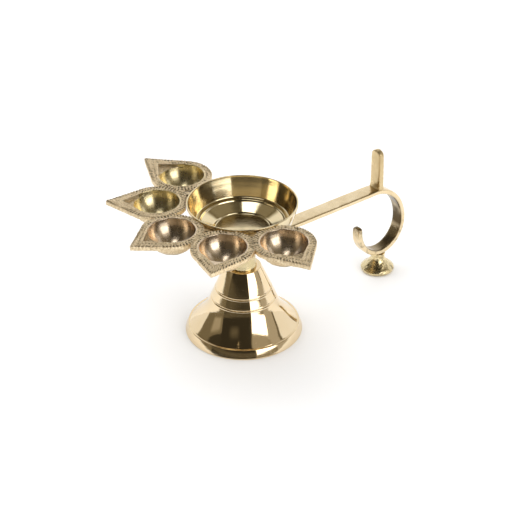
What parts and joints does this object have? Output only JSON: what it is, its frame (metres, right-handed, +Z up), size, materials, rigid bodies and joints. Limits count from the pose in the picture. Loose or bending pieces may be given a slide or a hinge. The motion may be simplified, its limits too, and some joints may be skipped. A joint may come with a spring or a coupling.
{
  "type": "five wick brass hand oil lamp",
  "caption": "Brass hand-held aarti oil lamp: turned bell foot, open oil bowl, fan of leaf-shaped wick cups, flat strap handle with thumb rest and finger hook.",
  "frame": {"origin": "on the table plane, under the centre of the whole lamp's box", "axes": "+X along the handle, from the middle leaf towards the finger hook; +Z up; +Y towards the first leaf"},
  "size_m": [0.1846, 0.1432, 0.079],
  "materials": {
    "polished_brass": "turned and mirror polished",
    "satin_brass": "filed and buffed satin",
    "cast_brass": "chased and stippled sand casting with polished cups",
    "fixing_steel": "plain zinc-grey steel"
  },
  "bodies": {
    "root": {"base_bell": "polished_brass", "neck_collar": "satin_brass", "handle_strap": "satin_brass", "thumb_rest": "satin_brass", "rest_foot": "cast_brass", "oil_bowl": "polished_brass", "leaf_cup_1": "cast_brass", "leaf_cup_2": "cast_brass", "leaf_cup_3": "cast_brass", "leaf_cup_4": "cast_brass", "leaf_cup_5": "cast_brass", "web_1_2": "cast_brass", "web_3_4": "cast_brass", "web_4_5": "cast_brass", "centre_stud": "fixing_steel", "nut_washer": "fixing_steel", "stud_nut": "fixing_steel"}
  },
  "joints": []
}
